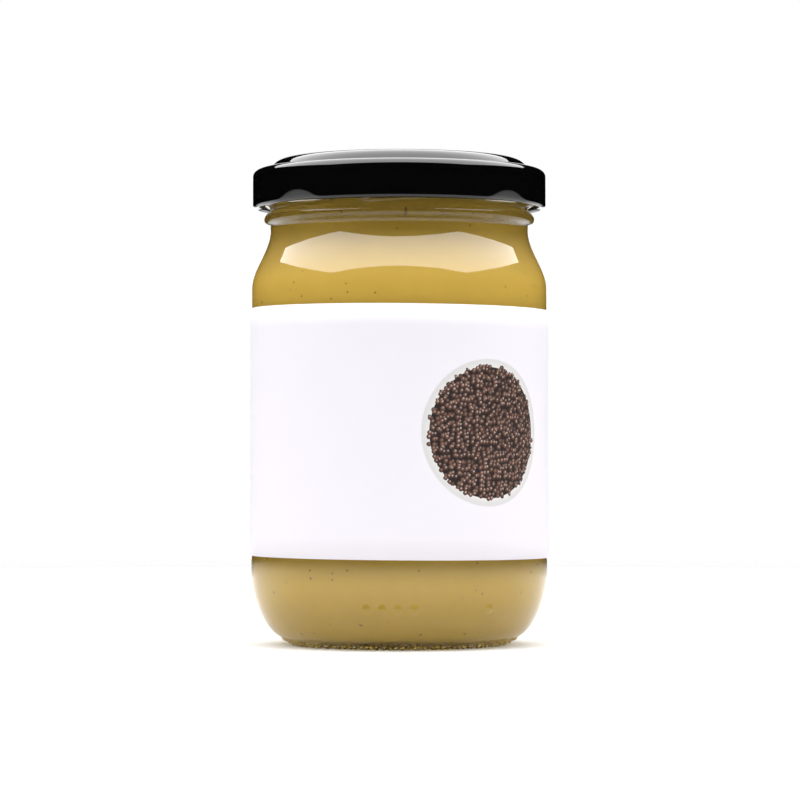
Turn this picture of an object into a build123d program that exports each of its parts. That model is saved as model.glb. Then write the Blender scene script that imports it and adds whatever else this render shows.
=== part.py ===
from build123d import *
from math import radians, sin, sqrt, tan
import os

# A jar of mustard: clear glass with a lug finish, the mustard in it, a twist-off metal cap, and a paper
# label round the body. Millimetres. +Z is up, the origin is the centre of the foot, and the front of the
# label faces -Y. An azimuth is counted from the front, positive towards +X.

# Jar body
body_radius = 30.66
jar_height = 99.7
wall = 2.3
shoulder_height = 12.0

# Foot and heel
foot_inset = 6.46
foot_height = 1.46
foot_flare = 1.5
contact_width = 1.6
knee_inset = 3.26
knee_height = 4.1
heel_height = 14.5
push_up = 2.2
base_thickness = 2.8
floor_inset = 7.0
floor_edge_height = 3.6
floor_flat = 8.0

# Neck and finish
finish_radius = 26.8
finish_wall = 3.2
neck_land = 1.0
bead_radius = 1.33
bead_gap = 1.0
rim_step = 0.9
rim_height = 2.3
rim_taper = 1.2
rim_round = 0.9

# Lug threads on the finish
thread_count = 4
thread_arc = 75.0
thread_start = -17.0
thread_slope = 4.0
thread_depth = 1.35
thread_height = 1.9
thread_flank = 0.6
thread_root = 0.5
thread_clearance = 0.15

# Raised dots on the heel
dot_radius = 1.05
dot_proud = 0.35
dot_height = 8.3
dot_row_start = -12.8
dot_row_pitch = 6.13
dot_row_count = 4
lone_dot_azimuth = 37.3

# Mustard
headspace = 3.0
fill_clearance = 0.05

# Cap
cap_height = 10.3
sheet = 0.3
seal_thickness = 0.7
seal_width = 2.2
skirt_clearance = 2.05
panel_clearance = 0.7
panel_crown = 3.0
panel_step = 2.2
cap_round = 1.6
curl_radius = 0.75

# Cap lugs, and the flats pressed into the skirt outside them
lug_azimuth = -43.0
lug_arc = 17.0
lug_reach = 0.8
lug_height = 1.25
lug_lift = 0.1
lug_root = 1.2
flat_depth = 0.68
flat_lean = 15.0
flat_block = 20.0

# Label
label_thickness = 0.2
label_gap = 0.06
label_top_margin = 4.43
label_foot_margin = 3.79
label_skew = 0.43
label_seam = 5.0

# Heights that follow
cap_top = jar_height + seal_thickness + sheet
cap_foot = cap_top - cap_height
cap_shelf = cap_top - panel_step
lug_top = cap_foot + lug_height
bead_centre = cap_foot - bead_gap - bead_radius
neck_foot = bead_centre - bead_radius - neck_land
shoulder_foot = neck_foot - shoulder_height
fill_level = jar_height - headspace
label_foot = heel_height + label_foot_margin
label_top = shoulder_foot - label_top_margin

# Radii that follow
foot_radius = body_radius - foot_inset
contact_radius = foot_radius - foot_flare
knee_radius = body_radius - knee_inset
bore_radius = finish_radius - finish_wall
rim_radius = finish_radius - rim_step
thread_radius = finish_radius + thread_depth
panel_radius = rim_radius + panel_clearance + sheet
cap_radius = thread_radius + skirt_clearance + sheet
label_radius = body_radius + label_gap

# The threads and the cap's lugs share one spacing round the jar. The underside of each thread clears the
# leading edge of the lug that it holds down.
lug_turn = 360 / thread_count
thread_middle = thread_start + thread_arc / 2
lug_lead = lug_azimuth - lug_arc / 2 - (thread_middle - lug_turn)
thread_rise = finish_radius * sin(radians(lug_lead)) * tan(radians(thread_slope))
thread_level = lug_top + thread_clearance - thread_rise

os.makedirs("parts", exist_ok=True)


def around(azimuth, height=0.0):
    """A frame on the jar's axis, at the given height, whose +X points out at an azimuth."""
    return Location((0, 0, height), (0, 0, azimuth - 90))


def shoulder_curve(radius_below, radius_above):
    """The S-curve from the body's wall into the neck, upright at both ends."""
    reach = shoulder_height / 3
    return Bezier(
        (radius_below, shoulder_foot),
        (radius_below, shoulder_foot + reach),
        (radius_above, neck_foot - reach),
        (radius_above, neck_foot),
    )


def room_outline(inset, top):
    """Half outline of the room inside the glass, moved in by inset and closed at the height top."""
    side = body_radius - wall - inset
    bore = bore_radius - inset
    floor = push_up + base_thickness + inset
    floor_edge = (side - floor_inset, floor_edge_height + inset)
    TangentArc((side, heel_height), floor_edge, tangent=(0, -1))
    TangentArc((floor_flat, floor), floor_edge, tangent=(1, 0))
    Line((side, heel_height), (side, shoulder_foot))
    shoulder_curve(side, bore)
    Polyline((bore, neck_foot), (bore, top), (0, top), (0, floor), (floor_flat, floor))


def glass_outline():
    """Half outline of the outside of the glass, closed along the axis. Returns the heel's upper arc."""
    heel = TangentArc((body_radius, heel_height), (knee_radius, knee_height), tangent=(0, -1))
    TangentArc(heel @ 1, (foot_radius, foot_height), tangent=heel % 1)
    contact_inside = (contact_radius - contact_width, 0)
    Polyline((foot_radius, foot_height), (contact_radius, 0), contact_inside)
    TangentArc((floor_flat, push_up), contact_inside, tangent=(1, 0))
    Line((body_radius, heel_height), (body_radius, shoulder_foot))
    shoulder_curve(body_radius, finish_radius)
    bead_foot = (finish_radius, bead_centre - bead_radius)
    bead_crest = (finish_radius + bead_radius, bead_centre)
    bead_head = (finish_radius, bead_centre + bead_radius)
    Line((finish_radius, neck_foot), bead_foot)
    ThreePointArc(bead_foot, bead_crest, bead_head)
    taper_foot = jar_height - rim_height - rim_taper
    Polyline(
        bead_head,
        (finish_radius, taper_foot),
        (rim_radius, taper_foot + rim_taper),
        (rim_radius, jar_height - rim_round),
    )
    TangentArc((rim_radius, jar_height - rim_round), (rim_radius - rim_round, jar_height), tangent=(0, 1))
    Polyline((rim_radius - rim_round, jar_height), (0, jar_height), (0, push_up), (floor_flat, push_up))
    return heel


def cap_outline(inset, foot):
    """Half outline of the cap, moved in by inset and closed at the height foot."""
    top = cap_top - inset
    shelf = cap_shelf - inset
    panel = panel_radius - inset
    side = cap_radius - inset
    Line((0, top), (panel_radius - panel_crown, top))
    TangentArc((panel_radius - panel_crown, top), (panel, shelf), tangent=(1, 0))
    Line((panel, shelf), (cap_radius - cap_round, shelf))
    TangentArc((cap_radius - cap_round, shelf), (side, cap_shelf - cap_round), tangent=(1, 0))
    Polyline((side, cap_shelf - cap_round), (side, foot), (0, foot), (0, top))


def flat_places(inset):
    """The frames of the flats in the cap's skirt, moved in by inset, with +X out of the cap."""
    places = []
    for turn in range(thread_count):
        foot_point = Location((cap_radius - flat_depth - inset, 0, 0), (0, flat_lean, 0))
        places.append(around(lug_azimuth + turn * lug_turn, cap_foot) * foot_point)
    return places


# The room inside the glass, taken out of the jar
with BuildPart() as jar_room:
    with BuildSketch(Plane.XZ):
        with BuildLine():
            room_outline(0, jar_height + seal_thickness)
        make_face()
    revolve(axis=Axis.Z)

# One lug thread, as it would lie level at the height of 0
with BuildPart() as thread:
    with BuildSketch(Plane.XZ):
        with BuildLine():
            Polyline(
                (finish_radius - thread_root, 0),
                (thread_radius, thread_flank),
                (thread_radius, thread_height - thread_flank),
                (finish_radius - thread_root, thread_height),
                close=True,
            )
        make_face()
    revolve(axis=Axis.Z, revolution_arc=thread_arc)

thread_tilt = Location((0, 0, 0), (thread_slope, 0, 0))
thread_swing = Location((0, 0, 0), (0, 0, -thread_arc / 2))
thread_places = [
    around(thread_middle + turn * lug_turn, thread_level) * thread_tilt * thread_swing
    for turn in range(thread_count)
]

# The jar
with BuildPart() as glass_jar:
    with BuildSketch(Plane.XZ):
        with BuildLine():
            heel_arc = glass_outline()
        make_face()
    revolve(axis=Axis.Z)
    with Locations(*thread_places):
        add(thread.part)
    heel_centre = heel_arc.arc_center
    dot_seat = heel_centre.X + sqrt(heel_arc.radius**2 - (heel_centre.Y - dot_height) ** 2)
    dot_depth = dot_radius - dot_proud
    dot_azimuths = [dot_row_start + dot_row_pitch * step for step in range(dot_row_count)]
    dot_azimuths.append(lone_dot_azimuth)
    with Locations(*[around(azimuth, dot_height) for azimuth in dot_azimuths]):
        with Locations((dot_seat - dot_depth, 0, 0)):
            Sphere(dot_radius)
    add(jar_room.part, mode=Mode.SUBTRACT)
    rim_edges = glass_jar.edges().group_by(Axis.Z)[-1].sort_by(SortBy.RADIUS)
    fillet(rim_edges[0], rim_round)

glass_jar.part.label = "glass_jar"
export_step(glass_jar.part, "parts/glass_jar.step")

# The mustard, filled to just under the cap
with BuildPart() as mustard:
    with BuildSketch(Plane.XZ):
        with BuildLine():
            room_outline(fill_clearance, fill_level)
        make_face()
    revolve(axis=Axis.Z)

mustard.part.label = "mustard"
export_step(mustard.part, "parts/mustard.step")

# The room inside the cap, with the backs of the four flats standing into it
with BuildPart() as cap_room:
    with BuildSketch(Plane.XZ):
        with BuildLine():
            cap_outline(sheet, cap_foot)
        make_face()
    revolve(axis=Axis.Z)
    with Locations(*flat_places(sheet)):
        Box(flat_block, flat_block, flat_block, align=(Align.MIN, Align.CENTER, Align.CENTER),
            mode=Mode.SUBTRACT)

# The curl rolled inwards along the foot of the skirt
with BuildPart() as curl:
    with BuildSketch(Plane.XZ):
        with Locations((cap_radius - curl_radius, cap_foot + curl_radius)):
            Circle(curl_radius)
    revolve(axis=Axis.Z)
    with Locations(*flat_places(0)):
        Box(flat_block, flat_block, flat_block, align=(Align.MIN, Align.CENTER, Align.CENTER),
            mode=Mode.SUBTRACT)

# One lug of the cap, bent in from the curl, starting on +X
with BuildPart() as lug:
    with BuildSketch(Plane.XZ):
        with Locations((thread_radius - lug_reach, cap_foot + lug_lift)):
            Rectangle(cap_radius - lug_root - thread_radius + lug_reach, lug_height - lug_lift,
                      align=(Align.MIN, Align.MIN))
    revolve(axis=Axis.Z, revolution_arc=lug_arc)

# The cap
with BuildPart() as cap:
    with BuildSketch(Plane.XZ):
        with BuildLine():
            cap_outline(0, cap_foot + curl_radius)
        make_face()
    revolve(axis=Axis.Z)
    with Locations(*flat_places(0)):
        Box(flat_block, flat_block, flat_block, align=(Align.MIN, Align.CENTER, Align.CENTER),
            mode=Mode.SUBTRACT)
    add(cap_room.part, mode=Mode.SUBTRACT)
    add(curl.part)
    with Locations(*[around(lug_azimuth - lug_arc / 2 + turn * lug_turn) for turn in range(thread_count)]):
        add(lug.part)
    with BuildSketch(Plane.XY.offset(jar_height)):
        Circle(rim_radius - rim_round)
        Circle(rim_radius - rim_round - seal_width, mode=Mode.SUBTRACT)
    extrude(amount=seal_thickness)

cap.part.label = "cap"
export_step(cap.part, "parts/cap.step")

# The label: a band round the body, a little askew, open along a seam at the back
label_tilt = tan(radians(label_skew))
label_height = label_top - label_foot
with BuildPart() as label:
    with BuildSketch(Plane.XY.offset(label_foot - label_height / 2)):
        Circle(label_radius + label_thickness)
        Circle(label_radius, mode=Mode.SUBTRACT)
        with Locations((0, label_radius)):
            Rectangle(label_seam, label_radius, mode=Mode.SUBTRACT)
    extrude(amount=2 * label_height)
    split(bisect_by=Plane((0, 0, label_foot), z_dir=(label_tilt, 0, 1)), keep=Keep.TOP)
    split(bisect_by=Plane((0, 0, label_top), z_dir=(label_tilt, 0, 1)), keep=Keep.BOTTOM)

label.part.label = "label"
export_step(label.part, "parts/label.step")
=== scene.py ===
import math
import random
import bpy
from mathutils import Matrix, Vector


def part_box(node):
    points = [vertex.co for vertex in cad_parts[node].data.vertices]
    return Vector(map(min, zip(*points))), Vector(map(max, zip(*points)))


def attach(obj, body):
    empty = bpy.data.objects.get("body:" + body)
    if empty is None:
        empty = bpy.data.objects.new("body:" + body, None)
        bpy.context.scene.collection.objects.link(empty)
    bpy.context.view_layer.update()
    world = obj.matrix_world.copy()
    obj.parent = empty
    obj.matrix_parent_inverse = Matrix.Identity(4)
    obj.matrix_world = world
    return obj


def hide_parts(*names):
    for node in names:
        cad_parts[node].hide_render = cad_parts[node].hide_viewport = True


bl_info = {
    "name": "Mustard Jar",
    "version": (1, 0, 0),
    "blender": (4, 5, 0),
    "location": "View3D > Sidebar > Mustard Jar",
    "description": "Builds the looks of a full mustard jar round its packed frame",
    "category": "Object",
}

import bmesh
import bpy
from bpy.props import FloatProperty, FloatVectorProperty, IntProperty, PointerProperty
from mathutils import Matrix, Vector
from mathutils.kdtree import KDTree

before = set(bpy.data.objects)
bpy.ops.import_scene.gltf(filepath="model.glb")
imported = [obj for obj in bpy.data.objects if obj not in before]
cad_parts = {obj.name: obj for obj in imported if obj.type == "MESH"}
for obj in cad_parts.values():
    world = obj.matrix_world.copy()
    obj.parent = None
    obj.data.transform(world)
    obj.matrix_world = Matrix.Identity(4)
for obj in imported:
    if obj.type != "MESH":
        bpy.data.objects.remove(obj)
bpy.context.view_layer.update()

MM = 0.001
_, JAR_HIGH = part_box("glass_jar")
CAP_LOW, CAP_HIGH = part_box("cap")
_, LABEL_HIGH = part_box("label")
_, FILL_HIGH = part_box("mustard")

BODY_RADIUS = JAR_HIGH[0]
RIM_HEIGHT = JAR_HIGH[2]
CAP_RADIUS = CAP_HIGH[0]
CAP_TOP = CAP_HIGH[2]
CAP_FOOT = CAP_LOW[2]
LABEL_RADIUS = LABEL_HIGH[0]
FILL_LEVEL = FILL_HIGH[2]
FLAT_DISC = 8 * MM  # each outline is level out to here, so that no triangle at the axis is a sliver
FULL_TURN = 2 * math.pi


def length(name, description, default):
    """A size in the panel, in metres."""
    return FloatProperty(name=name, description=description, default=default, unit="LENGTH", precision=5)


def degrees(name, description, default):
    """An angle in the panel, in degrees."""
    return FloatProperty(name=name, description=f"{description}, degrees", default=default)


def number(name, description, default):
    """A plain number in the panel."""
    return FloatProperty(name=name, description=description, default=default)


def colour(name, description, default):
    """A colour in the panel."""
    return FloatVectorProperty(
        name=name, description=description, default=default, subtype="COLOR", size=3, min=0, max=1
    )


class GlassSizes(bpy.types.PropertyGroup):
    """Sizes of the glass jar."""

    steps: IntProperty(name="Steps", description="Faces round the outside of the jar", default=600)
    inner_steps: IntProperty(name="Inner steps", description="Faces round the inside", default=160)
    wall: length("Wall", "Thickness of the glass in the body", 2.3 * MM)
    foot_radius: length("Foot radius", "Radius where the foot meets the heel", 24.2 * MM)
    foot_height: length("Foot height", "Height of the stippled foot", 1.46 * MM)
    contact_radius: length("Contact radius", "Outer radius of the ring it stands on", 22.7 * MM)
    contact_width: length("Contact width", "Width of the ring it stands on", 1.6 * MM)
    knee_radius: length("Knee radius", "Radius where the heel turns in", 27.4 * MM)
    knee_height: length("Knee height", "Height where the heel turns in", 4.1 * MM)
    heel_height: length("Heel height", "Height where the upright wall begins", 14.5 * MM)
    ease_height: length("Ease height", "Height over which the wall eases into the heel", 4.0 * MM)
    ease_depth: length("Ease depth", "How far the wall has turned in at the heel's top", 0.045 * MM)
    push_up: length("Push-up", "Rise of the middle of the base", 2.2 * MM)
    base: length("Base", "Thickness of the base in the middle", 2.8 * MM)
    corner: length("Corner", "Width of the room's rounded lower corner", 7.0 * MM)
    corner_height: length("Corner height", "Height where that corner meets the floor", 3.6 * MM)
    neck_radius: length("Neck radius", "Outer radius of the neck and finish", 26.8 * MM)
    bore_radius: length("Bore radius", "Inner radius of the neck", 23.6 * MM)
    shoulder_foot: length("Shoulder foot", "Height where the shoulder begins", 73.77 * MM)
    neck_foot: length("Neck foot", "Height where the neck begins", 85.77 * MM)
    bead_radius: length("Bead radius", "Radius of the round bead under the cap", 1.33 * MM)
    bead_height: length("Bead height", "Height of the bead's middle", 88.07 * MM)
    taper_depth: length("Taper depth", "Depth below the rim where the finish tapers in", 3.5 * MM)
    taper_height: length("Taper height", "Height of that taper", 1.2 * MM)
    rim_round: length("Rim round", "Rounding of the sealing rim", 0.9 * MM)
    rim_radius: length("Rim radius", "Outer radius of the sealing rim", 25.9 * MM)
    stipple_depth: length("Stipple depth", "Depth of the stipple on the foot", 0.6 * MM)
    stipple_pitch: length("Stipple pitch", "Spacing of the stipple", 1.2 * MM)
    thread_count: IntProperty(name="Threads", description="Number of lug threads", default=4)
    thread_start: degrees("Thread start", "Azimuth where the first thread starts", -17.0)
    thread_arc: degrees("Thread arc", "Length of a thread round the finish", 75.0)
    thread_slope: degrees("Thread slope", "Climb of a thread to the right", 4.0)
    thread_level: length("Thread level", "Height of a thread's underside at its middle", 91.2 * MM)
    thread_height: length("Thread height", "Height of a thread's section", 1.9 * MM)
    thread_depth: length("Thread depth", "How far a thread stands out", 1.35 * MM)
    dot_count: IntProperty(name="Dots", description="Number of moulded dots in the row", default=4)
    dot_start: degrees("Dot start", "Azimuth of the row's first dot", -12.8)
    dot_step: degrees("Dot step", "Step from dot to dot", 6.13)
    dot_alone: degrees("Lone dot", "Azimuth of the dot that stands alone", 37.3)
    dot_height: length("Dot height", "Height of the moulded dots on the heel", 8.3 * MM)
    dot_size: length("Dot size", "Radius of a moulded dot", 1.0 * MM)
    dot_rise: length("Dot rise", "How far a moulded dot stands out", 0.65 * MM)


class MustardSizes(bpy.types.PropertyGroup):
    """Sizes and colours of the mustard."""

    steps: IntProperty(name="Steps", description="Faces round the mustard", default=160)
    bite: length("Bite", "How far the mustard reaches into the wall of the glass", 0.3 * MM)
    dip: length("Dip", "Sag of the surface at the axis", 0.5 * MM)
    tone: colour("Mustard", "The mustard's own colour", (0.63, 0.42, 0.068))
    deep_tone: colour("Deep mustard", "The colour of its darker patches", (0.575, 0.378, 0.056))
    speck_tone: colour("Specks", "The colour of the specks of seed", (0.16, 0.085, 0.03))


class CapSizes(bpy.types.PropertyGroup):
    """Sizes and colours of the cap."""

    steps: IntProperty(name="Steps", description="Faces round the cap", default=480)
    sheet: length("Sheet", "Thickness of the metal", 0.3 * MM)
    crown: length("Crown", "Width of the panel's rounded edge", 3.0 * MM)
    panel_radius: length("Panel radius", "Radius of the raised panel", 26.9 * MM)
    panel_step: length("Panel step", "Height of the raised panel above the shoulder", 2.2 * MM)
    shoulder_round: length("Shoulder round", "Rounding of the cap's shoulder", 1.6 * MM)
    curl_radius: length("Curl radius", "Radius of the rolled curl", 0.75 * MM)
    lug_azimuth: degrees("First lug", "Azimuth of the first lug", -43.0)
    lug_count: IntProperty(name="Lugs", description="Number of lugs", default=4)
    lug_width: length("Lug width", "Width of a lug round the cap", 8.5 * MM)
    lug_reach: length("Lug reach", "Depth of a lug's tip inside the skirt", 3.15 * MM)
    lug_root: length("Lug root", "Depth of a lug's root inside the skirt", 1.2 * MM)
    lug_low: length("Lug underside", "Height of a lug's underside above the curl's foot", 0.1 * MM)
    lug_high: length("Lug top", "Height of a lug's top above the curl's foot", 1.25 * MM)
    lug_round: length("Lug rounding", "Rounding of a lug's edges", 0.3 * MM)
    seal_inner: length("Seal inside", "Inner radius of the sealing ring", 22.8 * MM)
    seal_outer: length("Seal outside", "Outer radius of the sealing ring", 25.0 * MM)
    flat_depth: length("Flat depth", "Depth of the flats pressed above the lugs", 0.68 * MM)
    flat_lean: degrees("Flat lean", "Lean of the flats", 15.0)
    flat_edge: length("Flat edge", "Softness of a flat's edge", 0.06 * MM)
    lacquer: colour("Lacquer", "The outside of the cap", (0.002, 0.002, 0.002))
    lining: colour("Lining", "The inside of the cap", (0.5, 0.49, 0.46))
    compound: colour("Compound", "The sealing ring", (0.6, 0.58, 0.53))


class LabelSizes(bpy.types.PropertyGroup):
    """Sizes and colours of the label."""

    steps: IntProperty(name="Steps", description="Faces round the label", default=240)
    rows: IntProperty(name="Rows", description="Faces up the label", default=12)
    thickness: length("Thickness", "Thickness of the paper", 0.2 * MM)
    foot: length("Foot", "Height of the label's lower edge at the front", 18.29 * MM)
    top: length("Top", "Height of the label's upper edge at the front", 69.34 * MM)
    seam: length("Seam", "Gap between the label's ends at the back", 5.0 * MM)
    skew: degrees("Skew", "How far the label is askew", 0.43)
    paper: colour("Paper", "The paper", (0.9, 0.87, 0.93))
    dish_azimuth: degrees("Dish azimuth", "Azimuth of the printed dish", 35.5)
    dish_height: length("Dish height", "Height of the printed dish's middle", 43.8 * MM)
    dish_radius: length("Dish radius", "Radius of the printed dish", 14.9 * MM)
    seeds_radius: length("Seeds radius", "Radius of the printed heap of seeds", 13.7 * MM)
    seed_pitch: length("Seed pitch", "Spacing of the printed seeds", 0.86 * MM)


class StageSizes(bpy.types.PropertyGroup):
    """The floor, the lights and the camera."""

    camera_distance: length("Camera distance", "From the jar's axis to the lens", 676.6 * MM)
    camera_height: length("Camera height", "Height of the lens above the floor", 37.07 * MM)
    camera_pitch: degrees("Pitch", "Upward tilt of the camera", 1.155)
    camera_yaw: degrees("Yaw", "Turn of the camera to the right", 0.0134)
    lens: number("Lens", "Focal length on a 36 mm sensor, millimetres", 146.5)
    floor_radius: length("Floor radius", "Radius of the floor", 0.62)
    floor_solid: length("Solid floor", "Radius where the floor begins to fade out", 0.3)
    floor_clear: length("Clear floor", "Radius where the floor has faded out", 0.6)
    ceiling_height: length("Ceiling height", "Height of the overhead softbox", 0.53)
    ceiling_width: length("Ceiling width", "Width of the overhead softbox", 1.5)
    ceiling_depth: length("Ceiling depth", "Depth of the overhead softbox", 1.0)
    ceiling_glow: number("Ceiling glow", "Radiance of the overhead softbox", 3.05)
    gloss_glow: number("Gloss glow", "Radiance of the overhead softbox in reflections", 6.0)
    gloss_drop: length("Gloss drop", "How far the reflected softbox hangs under the other", 0.01)
    back_distance: length("Back distance", "From the jar's axis to the strip behind", 0.6)
    back_height: length("Back height", "Height of the middle of the strip behind", 0.25)
    back_width: length("Back width", "Width of the strip behind", 0.3)
    back_rise: length("Back rise", "Height of the strip behind, from end to end", 0.5)
    back_glow: number("Back glow", "Radiance of the strip behind", 1.5)


# ---- outlines


def straight(start, end, steps):
    """Points from start to end, without start."""
    return [
        (start[0] + (end[0] - start[0]) * k / steps, start[1] + (end[1] - start[1]) * k / steps)
        for k in range(1, steps + 1)
    ]


def arc(start, heading, end, steps):
    """Points of the arc that leaves start along heading (a unit vector) and reaches end."""
    dx, dz = end[0] - start[0], end[1] - start[1]
    nx, nz = -heading[1], heading[0]
    across = dx * nx + dz * nz
    along = dx * heading[0] + dz * heading[1]
    turn = 2 * math.atan2(across, along)
    radius = math.hypot(dx, dz) / (2 * math.sin(turn / 2))
    points = []
    for k in range(1, steps + 1):
        angle = turn * k / steps
        ahead = radius * math.sin(angle)
        aside = radius * (1 - math.cos(angle))
        points.append(
            (start[0] + heading[0] * ahead + nx * aside, start[1] + heading[1] * ahead + nz * aside)
        )
    return points


def heading_after(points):
    """The direction in which the last two points run."""
    (x0, z0), (x1, z1) = points[-2], points[-1]
    run = math.hypot(x1 - x0, z1 - z0)
    return ((x1 - x0) / run, (z1 - z0) / run)


def s_curve(start, end, steps):
    """Points of the shoulder's S-curve, upright at both ends, without start."""
    points = []
    for k in range(1, steps + 1):
        t = k / steps
        blend = t * t * (3 - 2 * t)
        points.append((start[0] + (end[0] - start[0]) * blend, start[1] + (end[1] - start[1]) * t))
    return points


# ---- mesh helpers


def spun(points, steps):
    """A bmesh of the outline of (radius, height) points, spun once round the jar's axis."""
    bm = bmesh.new()
    verts = [bm.verts.new((0, -r, z)) for r, z in points]
    edges = [bm.edges.new(pair) for pair in zip(verts[:-1], verts[1:])]
    bmesh.ops.spin(
        bm,
        geom=verts + edges,
        cent=(0, 0, 0),
        axis=(0, 0, 1),
        angle=FULL_TURN,
        steps=steps,
        use_merge=True,
    )
    bmesh.ops.remove_doubles(bm, verts=bm.verts, dist=1e-7)
    return bm


def turned_out(bm):
    """Points all faces of a closed mesh outwards."""
    bmesh.ops.recalc_face_normals(bm, faces=bm.faces)
    if bm.calc_volume(signed=True) < 0:
        bmesh.ops.reverse_faces(bm, faces=bm.faces)
    bm.normal_update()


def finished(bm, name, *materials):
    """Turns the bmesh into a smooth object with these materials."""
    mesh = bpy.data.meshes.new(name)
    bm.to_mesh(mesh)
    bm.free()
    piece = bpy.data.objects.new(name, mesh)
    bpy.context.scene.collection.objects.link(piece)
    for material in materials:
        mesh.materials.append(material)
    mesh.shade_smooth()
    return piece


def azimuth_of(point):
    """The angle round the jar from the front, positive towards +X."""
    return math.atan2(point.x, -point.y)


def at(azimuth, radius, height):
    """The point at that azimuth, radius and height."""
    return Vector((radius * math.sin(azimuth), -radius * math.cos(azimuth), height))


# ---- materials


def new_material(name):
    """An empty node material with its Principled shader and output."""
    material = bpy.data.materials.new(name)
    material.use_nodes = True
    nodes = material.node_tree.nodes
    return material, nodes, material.node_tree.links, nodes["Principled BSDF"]


def add_node(nodes, kind, **values):
    """A node of that kind, with inputs set by name and properties by attribute."""
    node = nodes.new(kind)
    for key, value in values.items():
        socket = node.inputs.get(key.replace("_", " "))
        if hasattr(node, key):
            setattr(node, key, value)
        elif socket is not None:
            socket.default_value = value
    return node


def math_node(nodes, links, operation, *values, clamp=False):
    """A Math node; each of its values is a socket or a number. Returns its output."""
    node = nodes.new("ShaderNodeMath")
    node.operation = operation
    node.use_clamp = clamp
    for socket, value in zip(node.inputs, values):
        if isinstance(value, bpy.types.NodeSocket):
            links.new(value, socket)
        else:
            socket.default_value = value
    return node.outputs[0]


def mixed(nodes, links, share, first, second):
    """A colour Mix node from first to second by share. Returns its output."""
    node = nodes.new("ShaderNodeMix")
    node.data_type = "RGBA"
    for socket, value in ((node.inputs[0], share), (node.inputs[6], first), (node.inputs[7], second)):
        if isinstance(value, bpy.types.NodeSocket):
            links.new(value, socket)
        elif socket.type == "RGBA":
            socket.default_value = (*value, 1)
        else:
            socket.default_value = value
    return node.outputs[2]


def wave_group():
    """Node group: slow unevenness of a surface, as a height, shared by the glass and the lacquer."""
    group = bpy.data.node_groups.new("Surface wave", "ShaderNodeTree")
    group.interface.new_socket("Scale", in_out="INPUT", socket_type="NodeSocketFloat")
    group.interface.new_socket("Stretch", in_out="INPUT", socket_type="NodeSocketFloat")
    group.interface.new_socket("Height", in_out="OUTPUT", socket_type="NodeSocketFloat")
    nodes, links = group.nodes, group.links
    entry = nodes.new("NodeGroupInput")
    leave = nodes.new("NodeGroupOutput")
    where = nodes.new("ShaderNodeTexCoord")
    stretch = nodes.new("ShaderNodeCombineXYZ")
    stretch.inputs[0].default_value = 1
    stretch.inputs[1].default_value = 1
    links.new(entry.outputs["Stretch"], stretch.inputs[2])
    scaled = nodes.new("ShaderNodeVectorMath")
    scaled.operation = "MULTIPLY"
    links.new(where.outputs["Object"], scaled.inputs[0])
    links.new(stretch.outputs[0], scaled.inputs[1])
    noise = add_node(nodes, "ShaderNodeTexNoise", Detail=1.0, Roughness=0.4)
    links.new(scaled.outputs[0], noise.inputs["Vector"])
    links.new(entry.outputs["Scale"], noise.inputs["Scale"])
    links.new(noise.outputs[0], leave.inputs["Height"])
    return group


def fleck_group():
    """Node group: scattered round flecks of uneven size, as a mask, for the mustard's two sizes of speck."""
    group = bpy.data.node_groups.new("Flecks", "ShaderNodeTree")
    for name in ("Scale", "Least size", "Size spread", "Share"):
        group.interface.new_socket(name, in_out="INPUT", socket_type="NodeSocketFloat")
    group.interface.new_socket("Mask", in_out="OUTPUT", socket_type="NodeSocketFloat")
    nodes, links = group.nodes, group.links
    entry = nodes.new("NodeGroupInput")
    leave = nodes.new("NodeGroupOutput")
    where = nodes.new("ShaderNodeTexCoord")
    cells = nodes.new("ShaderNodeTexVoronoi")
    links.new(where.outputs["Object"], cells.inputs["Vector"])
    links.new(entry.outputs["Scale"], cells.inputs["Scale"])
    dice = nodes.new("ShaderNodeSeparateColor")
    links.new(cells.outputs["Color"], dice.inputs[0])
    spread = math_node(nodes, links, "MULTIPLY", dice.outputs[0], entry.outputs["Size spread"])
    size = math_node(nodes, links, "ADD", spread, entry.outputs["Least size"])
    inside = math_node(nodes, links, "SUBTRACT", size, cells.outputs["Distance"])
    edge = math_node(nodes, links, "MULTIPLY", inside, 14.0, clamp=True)
    chosen = math_node(nodes, links, "LESS_THAN", dice.outputs[1], entry.outputs["Share"])
    links.new(math_node(nodes, links, "MULTIPLY", edge, chosen), leave.inputs["Mask"])
    return group


def use_group(nodes, group, **values):
    """Places a node group in a material with its own values."""
    node = nodes.new("ShaderNodeGroup")
    node.node_tree = group
    for key, value in values.items():
        node.inputs[key.replace("_", " ")].default_value = value
    return node


def shared(name, build):
    """The node group of that name, built the first time."""
    return bpy.data.node_groups.get(name) or build()


def glass_material():
    """Clear flint glass with slow mould waves, which lets lamps through to what it holds."""
    material, nodes, links, shader = new_material("clear_glass")
    shader.inputs["Base Color"].default_value = (0.985, 0.995, 0.985, 1)
    shader.inputs["Roughness"].default_value = 0.0
    shader.inputs["IOR"].default_value = 1.5
    shader.inputs["Transmission Weight"].default_value = 1.0
    wave = use_group(nodes, shared("Surface wave", wave_group), Scale=90.0, Stretch=0.5)
    bump = add_node(nodes, "ShaderNodeBump", Strength=0.12, Distance=0.0004)
    links.new(wave.outputs[0], bump.inputs["Height"])
    links.new(bump.outputs[0], shader.inputs["Normal"])
    clear = nodes.new("ShaderNodeBsdfTransparent")
    clear.inputs[0].default_value = (0.94, 0.96, 0.94, 1)
    path = nodes.new("ShaderNodeLightPath")
    mix = nodes.new("ShaderNodeMixShader")
    links.new(path.outputs["Is Shadow Ray"], mix.inputs[0])
    links.new(shader.outputs[0], mix.inputs[1])
    links.new(clear.outputs[0], mix.inputs[2])
    links.new(mix.outputs[0], nodes["Material Output"].inputs[0])
    return material


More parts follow.
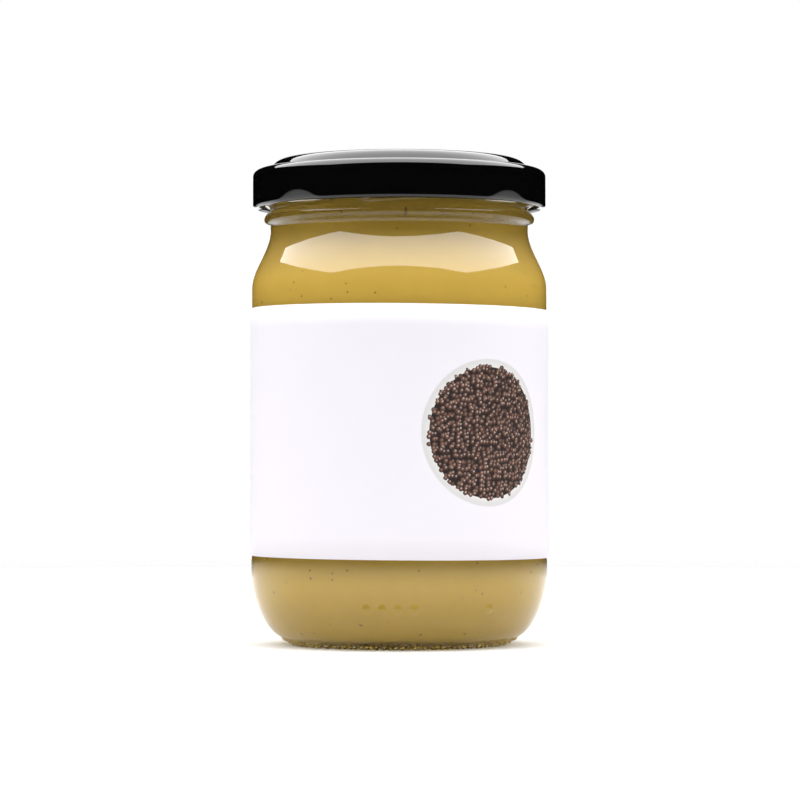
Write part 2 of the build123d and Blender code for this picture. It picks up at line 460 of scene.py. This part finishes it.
def mustard_material(sizes):
    """Smooth ochre mustard with soft mottling and fine dark specks."""
    material, nodes, links, shader = new_material("mustard")
    where = nodes.new("ShaderNodeTexCoord")
    mottle = add_node(nodes, "ShaderNodeTexNoise", Scale=160.0, Detail=4.0, Roughness=0.6)
    links.new(where.outputs["Object"], mottle.inputs["Vector"])
    base = mixed(nodes, links, mottle.outputs[0], sizes.tone, sizes.deep_tone)
    flecks = shared("Flecks", fleck_group)
    fine = use_group(nodes, flecks, Scale=700.0, Least_size=0.08, Size_spread=0.14, Share=0.3)
    coarse = use_group(nodes, flecks, Scale=300.0, Least_size=0.05, Size_spread=0.07, Share=0.3)
    strength = math_node(nodes, links, "MAXIMUM", fine.outputs[0], coarse.outputs[0])
    faint = math_node(nodes, links, "MULTIPLY", strength, 0.75)
    links.new(mixed(nodes, links, faint, base, sizes.speck_tone), shader.inputs["Base Color"])
    shader.inputs["Roughness"].default_value = 0.6
    shader.inputs["IOR"].default_value = 1.45
    shader.inputs["Specular IOR Level"].default_value = 0.2
    grain = add_node(nodes, "ShaderNodeBump", Strength=0.15, Distance=0.0002)
    links.new(mottle.outputs[0], grain.inputs["Height"])
    links.new(grain.outputs[0], shader.inputs["Normal"])
    return material


def lacquer_material(name, tone, roughness):
    """Gloss lacquer on tinplate, with a faint unevenness."""
    material, nodes, links, shader = new_material(name)
    wave = use_group(nodes, shared("Surface wave", wave_group), Scale=220.0, Stretch=1.0)
    shade = math_node(nodes, links, "MULTIPLY_ADD", wave.outputs[0], 0.03, roughness)
    links.new(shade, shader.inputs["Roughness"])
    shader.inputs["Base Color"].default_value = (*tone, 1)
    shader.inputs["IOR"].default_value = 1.5
    bump = add_node(nodes, "ShaderNodeBump", Strength=0.06, Distance=0.0002)
    links.new(wave.outputs[0], bump.inputs["Height"])
    links.new(bump.outputs[0], shader.inputs["Normal"])
    return material


def paper_material(sizes):
    """Coated white paper, with a round dish of brown seeds printed through the label's own UV map."""
    material, nodes, links, shader = new_material("label_paper")
    uv = nodes.new("ShaderNodeUVMap")
    uv.uv_map = "print"
    centre = (LABEL_RADIUS * math.radians(sizes.dish_azimuth), sizes.dish_height, 0)
    local = nodes.new("ShaderNodeVectorMath")
    local.operation = "SUBTRACT"
    links.new(uv.outputs[0], local.inputs[0])
    local.inputs[1].default_value = centre
    reach = nodes.new("ShaderNodeVectorMath")
    reach.operation = "LENGTH"
    links.new(local.outputs[0], reach.inputs[0])
    distance = reach.outputs["Value"]

    # The dish: a pale disc with a soft grey edge.
    def ring(radius, softness):
        """1 inside that radius, fading to 0 over the softness."""
        gap = math_node(nodes, links, "SUBTRACT", radius, distance)
        return math_node(nodes, links, "DIVIDE", gap, softness, clamp=True)

    dish = ring(sizes.dish_radius, 0.25 * MM)
    well = ring(sizes.dish_radius - 0.7 * MM, 0.9 * MM)
    rim_tone = mixed(nodes, links, well, (0.74, 0.73, 0.73), (0.82, 0.805, 0.785))
    page = mixed(nodes, links, dish, sizes.paper, rim_tone)

    # The seeds: one cell each, shaded as small balls lit from the upper right.
    cells = add_node(nodes, "ShaderNodeTexVoronoi", voronoi_dimensions="2D")
    cells.inputs["Scale"].default_value = 1 / sizes.seed_pitch
    cells.inputs["Randomness"].default_value = 1.0
    links.new(local.outputs[0], cells.inputs["Vector"])
    middle = nodes.new("ShaderNodeVectorMath")
    middle.operation = "LENGTH"
    links.new(cells.outputs["Position"], middle.inputs[0])
    heap_edge = sizes.seeds_radius - 0.2 * MM
    in_heap = math_node(nodes, links, "LESS_THAN", middle.outputs["Value"], heap_edge)
    ball = math_node(nodes, links, "LESS_THAN", cells.outputs["Distance"], 0.56)
    loose = math_node(nodes, links, "MULTIPLY", in_heap, ball)
    heap = ring(sizes.seeds_radius - 0.5 * MM, 0.1 * MM)
    covered = math_node(nodes, links, "MAXIMUM", loose, heap)
    aside = nodes.new("ShaderNodeVectorMath")
    aside.operation = "SUBTRACT"
    links.new(local.outputs[0], aside.inputs[0])
    links.new(cells.outputs["Position"], aside.inputs[1])
    glint_at = nodes.new("ShaderNodeVectorMath")
    glint_at.operation = "DISTANCE"
    links.new(aside.outputs[0], glint_at.inputs[0])
    glint_place = (0.13 * MM, 0.15 * MM, 0)
    glint_radius = 0.27 * MM
    glint_softness = 0.2 * MM
    glint_at.inputs[1].default_value = glint_place
    near_glint = math_node(nodes, links, "SUBTRACT", glint_radius, glint_at.outputs["Value"])
    glint = math_node(nodes, links, "DIVIDE", near_glint, glint_softness, clamp=True)
    dice = nodes.new("ShaderNodeSeparateColor")
    links.new(cells.outputs["Color"], dice.inputs[0])
    body = mixed(nodes, links, dice.outputs[0], (0.07, 0.032, 0.022), (0.27, 0.13, 0.085))
    rim_dark = math_node(nodes, links, "MULTIPLY", cells.outputs["Distance"], 1.5, clamp=True)
    shaded = mixed(nodes, links, rim_dark, body, (0.012, 0.006, 0.005))
    bright = math_node(nodes, links, "MULTIPLY", glint, dice.outputs[1])
    lit = mixed(nodes, links, bright, shaded, (0.68, 0.52, 0.46))
    links.new(mixed(nodes, links, covered, page, lit), shader.inputs["Base Color"])

    fibre = add_node(nodes, "ShaderNodeTexNoise", Scale=1500.0, Detail=3.0)
    where = nodes.new("ShaderNodeTexCoord")
    links.new(where.outputs["Object"], fibre.inputs["Vector"])
    bump = add_node(nodes, "ShaderNodeBump", Strength=0.08, Distance=0.00005)
    links.new(fibre.outputs[0], bump.inputs["Height"])
    links.new(bump.outputs[0], shader.inputs["Normal"])
    rough = math_node(nodes, links, "MULTIPLY_ADD", fibre.outputs[0], 0.15, 0.42)
    links.new(rough, shader.inputs["Roughness"])
    shader.inputs["Specular IOR Level"].default_value = 0.3
    return material


# ---- the pieces


def heel_points(sizes, steps):
    """The outside of the heel from the upright wall down to the foot; it eases in before the arcs."""
    start = sizes.heel_height + sizes.ease_height
    shares = [k / 8 for k in range(9)]
    ease = [(BODY_RADIUS - sizes.ease_depth * t * t, start - sizes.ease_height * t) for t in shares]
    knee = (sizes.knee_radius, sizes.knee_height)
    upper = arc(ease[-1], heading_after(ease), knee, steps)
    lower = arc(knee, heading_after(ease + upper), (sizes.foot_radius, sizes.foot_height), steps // 3)
    return ease + upper + lower


def glass_outside(sizes):
    """Half outline of the outside, from the middle of the base to the inner edge of the rim."""
    heel_up = list(reversed(heel_points(sizes, 36)))
    inner_foot = (sizes.contact_radius - sizes.contact_width, 0)
    points = [(0, sizes.push_up), (FLAT_DISC, sizes.push_up)]
    points += arc(points[-1], (1, 0), inner_foot, 8)
    points += straight(inner_foot, (sizes.contact_radius, 0), 8)
    points += straight((sizes.contact_radius, 0), (sizes.foot_radius, sizes.foot_height), 10)
    points += heel_up[1:]
    points += straight(points[-1], (BODY_RADIUS, sizes.shoulder_foot), 4)
    points += s_curve(points[-1], (sizes.neck_radius, sizes.neck_foot), 16)
    bead_low = (sizes.neck_radius, sizes.bead_height - sizes.bead_radius)
    bead_high = (sizes.neck_radius, sizes.bead_height + sizes.bead_radius)
    points.append(bead_low)
    points += arc(bead_low, (1, 0), bead_high, 12)
    taper = RIM_HEIGHT - sizes.taper_depth
    points += straight(bead_high, (sizes.neck_radius, taper), 22)
    points += straight(points[-1], (sizes.rim_radius, taper + sizes.taper_height), 2)
    points.append((sizes.rim_radius, RIM_HEIGHT - sizes.rim_round))
    points += arc(points[-1], (0, 1), (sizes.rim_radius - sizes.rim_round, RIM_HEIGHT), 5)
    points += arc(points[-1], (-1, 0), (sizes.bore_radius, RIM_HEIGHT - sizes.rim_round), 4)
    return points


def room_points(sizes, inset, top):
    """Half outline of the room in the glass, from its top edge to the middle of its floor.

    A negative inset makes it larger than the room, by that much into the glass.
    """
    side = BODY_RADIUS - sizes.wall - inset
    bore = sizes.bore_radius - inset
    floor = sizes.push_up + sizes.base + inset
    floor_edge = (side - sizes.corner, sizes.corner_height + inset)
    points = [(bore, top), (bore, sizes.neck_foot)]
    points += s_curve(points[-1], (side, sizes.shoulder_foot), 12)
    points.append((side, sizes.heel_height))
    points += arc(points[-1], (0, -1), floor_edge, 12)
    points += list(reversed(arc((FLAT_DISC, floor), (1, 0), floor_edge, 6)))[1:]
    points += [(FLAT_DISC, floor), (0, floor)]
    return points


def raise_spots(bm, spots, reach, rise):
    """Raises a round bump of that reach and rise along the normals round each spot."""
    tree = KDTree(len(spots))
    for index, spot in enumerate(spots):
        tree.insert(spot, index)
    tree.balance()
    moves = []
    for vert in bm.verts:
        _, _, distance = tree.find(vert.co)
        if distance < reach:
            moves.append((vert, vert.normal * rise * math.sqrt(1 - (distance / reach) ** 2)))
    for vert, move in moves:
        vert.co += move


def stipple_foot(bm, sizes, draw):
    """Sinks the foot by the stipple's depth and raises rows of uneven bumps back to its old surface."""
    outer = sizes.contact_radius
    inner = outer - sizes.contact_width
    ring_rows = [(inner + 0.3 * MM, 0), (inner + 1.2 * MM, 0)]
    flare_rows = [(outer + 0.35 * MM, 0.34 * MM), (outer + 1.1 * MM, 1.07 * MM)]
    depth = sizes.stipple_depth
    margin = 0.1 * MM
    bump_reach = 0.62 * MM
    turn_spread, radius_spread, height_spread = 0.28, 0.2, 0.1
    for vert in bm.verts:
        radius = math.hypot(vert.co.x, vert.co.y)
        on_foot = inner - margin < radius < sizes.foot_radius + margin
        if on_foot and vert.co.z < sizes.foot_height - margin:
            vert.co -= vert.normal * depth
    bm.normal_update()
    spots = []
    for row, (radius, height) in enumerate(ring_rows + flare_rows):
        count = int(FULL_TURN * radius / sizes.stipple_pitch)
        for k in range(count):
            azimuth = FULL_TURN * (k + row / 2 + draw.uniform(-turn_spread, turn_spread)) / count
            shift = draw.uniform(-radius_spread, radius_spread) * MM
            lift = draw.uniform(-height_spread, height_spread) * MM
            spots.append(at(azimuth, radius + shift, height + depth + lift))
    raise_spots(bm, spots, bump_reach, depth)
    for vert in bm.verts:
        vert.co.z = max(vert.co.z, 0)


def raise_threads(bm, sizes):
    """Raises the lug threads on the finish, each climbing to the right."""
    span, slope = math.radians(sizes.thread_arc), math.tan(math.radians(sizes.thread_slope))
    turn = FULL_TURN / sizes.thread_count
    start = math.radians(sizes.thread_start)
    level, height, depth = sizes.thread_level, sizes.thread_height, sizes.thread_depth
    low = sizes.bead_height + sizes.bead_radius
    high = RIM_HEIGHT - sizes.taper_depth
    end_taper, flank_taper = 8, 3.2
    for vert in bm.verts:
        radius = math.hypot(vert.co.x, vert.co.y)
        if not low < vert.co.z < high or radius < sizes.neck_radius - 0.1 * MM:
            continue
        along = (azimuth_of(vert.co) - start) % turn
        if along > span:
            continue
        foot = level + sizes.neck_radius * math.sin(along - span / 2) * slope
        across = (vert.co.z - foot) / height
        if not 0 < across < 1:
            continue
        ends = min(1, end_taper * along / span, end_taper * (1 - along / span))
        rise = depth * ends * min(1, flank_taper * across, flank_taper * (1 - across))
        vert.co += Vector((vert.co.x, vert.co.y, 0)).normalized() * rise


class JAR_OT_glass(bpy.types.Operator):
    """Build the clear glass jar, with its threads, bead, moulded dots and stippled foot"""

    bl_idname = "jar.build_glass"
    bl_label = "Glass jar"

    def execute(self, context):
        sizes = context.scene.jar_glass
        draw = random.Random(7)
        bm = spun(glass_outside(sizes), sizes.steps)
        turned_out(bm)
        raise_spots(bm, self.dots(sizes), sizes.dot_size, sizes.dot_rise)
        stipple_foot(bm, sizes, draw)
        raise_threads(bm, sizes)
        room = spun(room_points(sizes, 0, RIM_HEIGHT - 2 * sizes.rim_round), sizes.inner_steps)
        scratch = bpy.data.meshes.new("room")
        room.to_mesh(scratch)
        room.free()
        bm.from_mesh(scratch)
        bpy.data.meshes.remove(scratch)
        open_edges = [edge for edge in bm.edges if edge.is_boundary]
        bmesh.ops.bridge_loops(bm, edges=open_edges)
        turned_out(bm)
        piece = finished(bm, "jar_glass", glass_material())
        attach(piece, "root")
        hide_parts("glass_jar")
        return {"FINISHED"}

    def dots(self, sizes):
        """The middles of the moulded dots, which sit on the heel's upper arc."""
        across = BODY_RADIUS - sizes.knee_radius
        down = sizes.heel_height - sizes.knee_height
        radius = (across * across + down * down) / (2 * across)
        drop = sizes.heel_height - sizes.dot_height
        seat = BODY_RADIUS - radius + math.sqrt(radius * radius - drop * drop)
        azimuths = [sizes.dot_start + sizes.dot_step * k for k in range(sizes.dot_count)]
        azimuths.append(sizes.dot_alone)
        return [at(math.radians(azimuth), seat, sizes.dot_height) for azimuth in azimuths]


class JAR_OT_mustard(bpy.types.Operator):
    """Build the mustard, which reaches just into the wall of the glass"""

    bl_idname = "jar.build_mustard"
    bl_label = "Mustard"

    def execute(self, context):
        sizes = context.scene.jar_mustard
        points = room_points(context.scene.jar_glass, -sizes.bite, FILL_LEVEL)
        sag = [(0, 1.0), (12 * MM, 0.8), (20 * MM, 0.4)]
        top = [(radius, FILL_LEVEL - share * sizes.dip) for radius, share in sag]
        bm = spun(top + points, sizes.steps)
        turned_out(bm)
        piece = finished(bm, "mustard_fill", mustard_material(sizes))
        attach(piece, "root")
        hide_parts("mustard")
        return {"FINISHED"}


def cap_outside(sizes):
    """Half outline of the outside of the cap, from the middle of its panel to the curl."""
    shelf = CAP_TOP - sizes.panel_step
    panel_edge = sizes.panel_radius - sizes.crown
    crown_foot = (sizes.panel_radius - 0.15 * MM, shelf + 0.2 * MM)
    shelf_start = (sizes.panel_radius + 0.1 * MM, shelf)
    points = [(0, CAP_TOP), (FLAT_DISC, CAP_TOP), (2 * FLAT_DISC, CAP_TOP), (panel_edge, CAP_TOP)]
    points += arc(points[-1], (1, 0), crown_foot, 14)
    points += arc(points[-1], (0, -1), shelf_start, 3)
    points.append((CAP_RADIUS - sizes.shoulder_round - 0.2 * MM, shelf))
    points.append((CAP_RADIUS - sizes.shoulder_round, shelf))
    points += arc(points[-1], (1, 0), (CAP_RADIUS, shelf - sizes.shoulder_round), 12)
    points += straight(points[-1], (CAP_RADIUS, CAP_FOOT + sizes.curl_radius), 20)
    return points


def cap_rolled(sizes):
    """The curl and the inside of the cap, back to the middle of its panel."""
    curl = sizes.curl_radius
    foot = CAP_FOOT + curl
    points = arc((CAP_RADIUS, foot), (0, -1), (CAP_RADIUS - 2 * curl, foot), 14)
    points += arc(points[-1], (0, 1), (CAP_RADIUS - curl, foot + curl), 6)
    inner = CAP_RADIUS - sizes.sheet
    shelf = CAP_TOP - sizes.panel_step - sizes.sheet
    points.append((inner, foot + curl + 0.1 * MM))
    points += straight(points[-1], (inner, shelf - sizes.shoulder_round), 14)
    points += arc(points[-1], (0, 1), (CAP_RADIUS - sizes.shoulder_round, shelf), 6)
    points.append((sizes.panel_radius - sizes.sheet, shelf))
    points += arc(points[-1], (0, 1), (sizes.panel_radius - sizes.crown, CAP_TOP - sizes.sheet), 8)
    points.append((0, CAP_TOP - sizes.sheet))
    return points


def press_flats(bm, sizes):
    """Presses the leaning flats into the skirt; the inside moves in step with the outside."""
    lean = math.radians(sizes.flat_lean)
    soft = sizes.flat_edge
    ceiling = CAP_FOOT + 5 * MM
    for turn in range(sizes.lug_count):
        azimuth = math.radians(sizes.lug_azimuth) + turn * FULL_TURN / sizes.lug_count
        out = at(azimuth, 1, 0)
        normal = out * math.cos(lean) - Vector((0, 0, math.sin(lean)))
        foot = at(azimuth, CAP_RADIUS - sizes.flat_depth, CAP_FOOT)
        for vert in bm.verts:
            if vert.co.z > ceiling or vert.co.dot(out) < CAP_RADIUS * 0.8:
                continue
            depth = CAP_RADIUS - math.hypot(vert.co.x, vert.co.y)
            height = (vert.co - foot).dot(normal) + depth * math.cos(lean)
            if height > -4 * soft:
                push = soft * math.log1p(math.exp(min(height / soft, 40)))
                vert.co -= normal * push


class JAR_OT_cap(bpy.types.Operator):
    """Build the twist-off cap, with its flats, rolled curl and lugs"""

    bl_idname = "jar.build_cap"
    bl_label = "Cap"

    def execute(self, context):
        sizes = context.scene.jar_cap
        bm = spun(cap_outside(sizes) + cap_rolled(sizes), sizes.steps)
        press_flats(bm, sizes)
        turned_out(bm)
        foot = CAP_FOOT + sizes.curl_radius
        for face in bm.faces:
            middle = face.calc_center_median()
            outwards = Vector((middle.x, middle.y, 0)).normalized()
            under_panel = middle.z > foot + 2 * MM and face.normal.z < -0.2
            inside_skirt = middle.z > foot and face.normal.dot(outwards) < -0.3
            face.material_index = int(under_panel or inside_skirt)
        black = lacquer_material("black_lacquer", sizes.lacquer, 0.04)
        pale = lacquer_material("cap_lining", sizes.lining, 0.3)
        piece = finished(bm, "cap_shell", black, pale)
        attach(piece, "root")
        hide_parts("cap")
        self.lugs(sizes, pale)
        self.seal(sizes)
        return {"FINISHED"}

    def lugs(self, sizes, material):
        """The lugs bent in from the curl, each a rounded block."""
        bm = bmesh.new()
        low, high = CAP_FOOT + sizes.lug_low, CAP_FOOT + sizes.lug_high
        inner, outer = CAP_RADIUS - sizes.lug_reach, CAP_RADIUS - sizes.lug_root
        for turn in range(sizes.lug_count):
            azimuth = math.radians(sizes.lug_azimuth) + turn * FULL_TURN / sizes.lug_count
            lug = bmesh.ops.create_cube(bm, size=1)["verts"]
            bmesh.ops.scale(bm, vec=(sizes.lug_width, outer - inner, high - low), verts=lug)
            bmesh.ops.translate(bm, vec=(0, -(inner + outer) / 2, (low + high) / 2), verts=lug)
            bmesh.ops.rotate(bm, cent=(0, 0, 0), matrix=Matrix.Rotation(azimuth, 3, "Z"), verts=lug)
        bmesh.ops.bevel(
            bm,
            geom=bm.edges[:],
            offset=sizes.lug_round,
            segments=3,
            profile=0.5,
            affect="EDGES",
            material=-1,
        )
        turned_out(bm)
        piece = finished(bm, "cap_lugs", material)
        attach(piece, "root")

    def seal(self, sizes):
        """The ring of sealing compound between the cap and the rim."""
        inner, outer = sizes.seal_inner, sizes.seal_outer
        low, high = RIM_HEIGHT, CAP_TOP - sizes.sheet
        points = [(inner, low), (outer, low), (outer, high), (inner, high), (inner, low)]
        bm = spun(points, 160)
        turned_out(bm)
        piece = finished(bm, "cap_seal", lacquer_material("seal_compound", sizes.compound, 0.5))
        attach(piece, "root")


class JAR_OT_label(bpy.types.Operator):
    """Build the paper label with its printed dish of seeds"""

    bl_idname = "jar.build_label"
    bl_label = "Label"

    def execute(self, context):
        sizes = context.scene.jar_label
        radius = LABEL_RADIUS
        half_seam = math.asin(sizes.seam / 2 / radius)
        span = FULL_TURN - 2 * half_seam
        bm = bmesh.new()
        column = [
            bm.verts.new(at(-span / 2, radius, sizes.foot + (sizes.top - sizes.foot) * k / sizes.rows))
            for k in range(sizes.rows + 1)
        ]
        edges = [bm.edges.new(pair) for pair in zip(column[:-1], column[1:])]
        bmesh.ops.spin(
            bm, geom=column + edges, cent=(0, 0, 0), axis=(0, 0, 1), angle=span, steps=sizes.steps
        )
        bmesh.ops.remove_doubles(bm, verts=bm.verts, dist=1e-7)
        bmesh.ops.recalc_face_normals(bm, faces=bm.faces)
        bm.faces.ensure_lookup_table()
        if bm.faces[0].normal.dot(bm.faces[0].calc_center_median() * Vector((1, 1, 0))) < 0:
            bmesh.ops.reverse_faces(bm, faces=bm.faces)
        bmesh.ops.solidify(bm, geom=bm.faces[:], thickness=sizes.thickness)
        bm.normal_update()
        turned_out(bm)
        prints = bm.loops.layers.uv.new("print")
        for face in bm.faces:
            centre_angle = azimuth_of(face.calc_center_median())
            for loop in face.loops:
                angle = azimuth_of(loop.vert.co)
                angle += FULL_TURN * round((centre_angle - angle) / FULL_TURN)
                loop[prints].uv = (radius * angle, loop.vert.co.z)
        tilt = math.tan(math.radians(sizes.skew))
        for vert in bm.verts:
            vert.co.z -= vert.co.x * tilt
        piece = finished(bm, "label_wrap", paper_material(sizes))
        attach(piece, "root")
        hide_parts("label")
        return {"FINISHED"}


def area_light(name, place, rotation, size, radiance):
    """A rectangular softbox of that radiance, which the camera doesn't see."""
    data = bpy.data.lights.new(name, "AREA")
    data.shape = "RECTANGLE"
    data.size, data.size_y = size
    data.energy = radiance * math.pi * size[0] * size[1]
    lamp = bpy.data.objects.new(name, data)
    lamp.location = place
    lamp.rotation_euler = rotation
    lamp.visible_camera = False
    bpy.context.scene.collection.objects.link(lamp)
    return lamp


class JAR_OT_stage(bpy.types.Operator):
    """Build the pale floor, the softboxes, the surroundings and the camera"""

    bl_idname = "jar.build_stage"
    bl_label = "Stage"

    def execute(self, context):
        sizes = context.scene.jar_stage
        self.floor(sizes)
        self.world(context.scene)
        ceiling = (sizes.ceiling_width, sizes.ceiling_depth)
        above = (0, 0, sizes.ceiling_height)
        softbox = area_light("softbox", above, (0, 0, 0), ceiling, sizes.ceiling_glow)
        softbox.visible_glossy = False
        just_under = (0, 0, sizes.ceiling_height - sizes.gloss_drop)
        gloss = area_light("gloss", just_under, (0, 0, 0), ceiling, sizes.gloss_glow)
        gloss.visible_diffuse = False
        gloss.visible_transmission = False
        behind = (0, sizes.back_distance, sizes.back_height)
        facing = (math.radians(-90), 0, 0)
        strip = (sizes.back_width, sizes.back_rise)
        back = area_light("back", behind, facing, strip, sizes.back_glow)
        back.visible_diffuse = False
        self.camera(context.scene, sizes)
        return {"FINISHED"}

    def floor(self, sizes):
        """A round pale floor that fades out towards its edge."""
        bm = bmesh.new()
        bmesh.ops.create_circle(bm, cap_ends=True, segments=96, radius=sizes.floor_radius)
        material, nodes, links, shader = new_material("floor")
        shader.inputs["Base Color"].default_value = (0.88, 0.88, 0.88, 1)
        shader.inputs["Roughness"].default_value = 0.9
        shader.inputs["Specular IOR Level"].default_value = 0.0
        where = nodes.new("ShaderNodeTexCoord")
        reach = nodes.new("ShaderNodeVectorMath")
        reach.operation = "LENGTH"
        links.new(where.outputs["Object"], reach.inputs[0])
        inside = math_node(nodes, links, "SUBTRACT", sizes.floor_clear, reach.outputs["Value"])
        fade = sizes.floor_clear - sizes.floor_solid
        solid = math_node(nodes, links, "DIVIDE", inside, fade, clamp=True)
        clear = nodes.new("ShaderNodeBsdfTransparent")
        mix = nodes.new("ShaderNodeMixShader")
        links.new(solid, mix.inputs[0])
        links.new(clear.outputs[0], mix.inputs[1])
        links.new(shader.outputs[0], mix.inputs[2])
        links.new(mix.outputs[0], nodes["Material Output"].inputs[0])
        floor = finished(bm, "floor", material)

    def world(self, scene):
        """White for the camera, straight or through the glass, and dark for everything else."""
        world = bpy.data.worlds.new("surroundings")
        scene.world = world
        world.use_nodes = True
        nodes, links = world.node_tree.nodes, world.node_tree.links
        path = nodes.new("ShaderNodeLightPath")
        straight_on, refracted = path.outputs["Is Camera Ray"], path.outputs["Is Transmission Ray"]
        seen = math_node(nodes, links, "MAXIMUM", straight_on, refracted)
        direct = math_node(nodes, links, "LESS_THAN", path.outputs["Diffuse Depth"], 0.5)
        strength = math_node(nodes, links, "MULTIPLY", seen, direct)
        links.new(strength, nodes["Background"].inputs["Strength"])
        nodes["Background"].inputs["Color"].default_value = (1, 1, 1, 1)

    def camera(self, scene, sizes):
        """The camera in front, low, looking slightly up."""
        data = bpy.data.cameras.new("camera")
        data.lens = sizes.lens
        data.sensor_width = 36
        camera = bpy.data.objects.new("camera", data)
        camera.location = (0, -sizes.camera_distance, sizes.camera_height)
        pitch, yaw = math.radians(90 + sizes.camera_pitch), math.radians(-sizes.camera_yaw)
        camera.rotation_euler = (pitch, 0, yaw)
        scene.collection.objects.link(camera)
        scene.camera = camera
        scene.view_settings.view_transform = "Standard"


class JAR_PT_panel(bpy.types.Panel):
    """Lists the jar's operators and sizes"""

    bl_idname = "JAR_PT_panel"
    bl_label = "Mustard Jar"
    bl_space_type = "VIEW_3D"
    bl_region_type = "UI"
    bl_category = "Mustard Jar"

    def draw(self, context):
        for operator, group in STEPS:
            box = self.layout.box()
            box.operator(operator.bl_idname)
            owner = getattr(context.scene, group)
            for name in owner.bl_rna.properties.keys():
                if name not in ("rna_type", "name"):
                    box.prop(owner, name)


GROUPS = {
    "jar_glass": GlassSizes,
    "jar_mustard": MustardSizes,
    "jar_cap": CapSizes,
    "jar_label": LabelSizes,
    "jar_stage": StageSizes,
}
STEPS = (
    (JAR_OT_glass, "jar_glass"),
    (JAR_OT_mustard, "jar_mustard"),
    (JAR_OT_cap, "jar_cap"),
    (JAR_OT_label, "jar_label"),
    (JAR_OT_stage, "jar_stage"),
)


def register():
    for name, group in GROUPS.items():
        bpy.utils.register_class(group)
        setattr(bpy.types.Scene, name, PointerProperty(type=group))
    for operator, _ in STEPS:
        bpy.utils.register_class(operator)
    bpy.utils.register_class(JAR_PT_panel)


def unregister():
    bpy.utils.unregister_class(JAR_PT_panel)
    for operator, _ in reversed(STEPS):
        bpy.utils.unregister_class(operator)
    for name, group in reversed(GROUPS.items()):
        delattr(bpy.types.Scene, name)
        bpy.utils.unregister_class(group)


def main():
    register()
    bpy.ops.jar.build_glass()
    bpy.ops.jar.build_mustard()
    bpy.ops.jar.build_cap()
    bpy.ops.jar.build_label()
    bpy.ops.jar.build_stage()


if __name__ == "__main__":
    main()
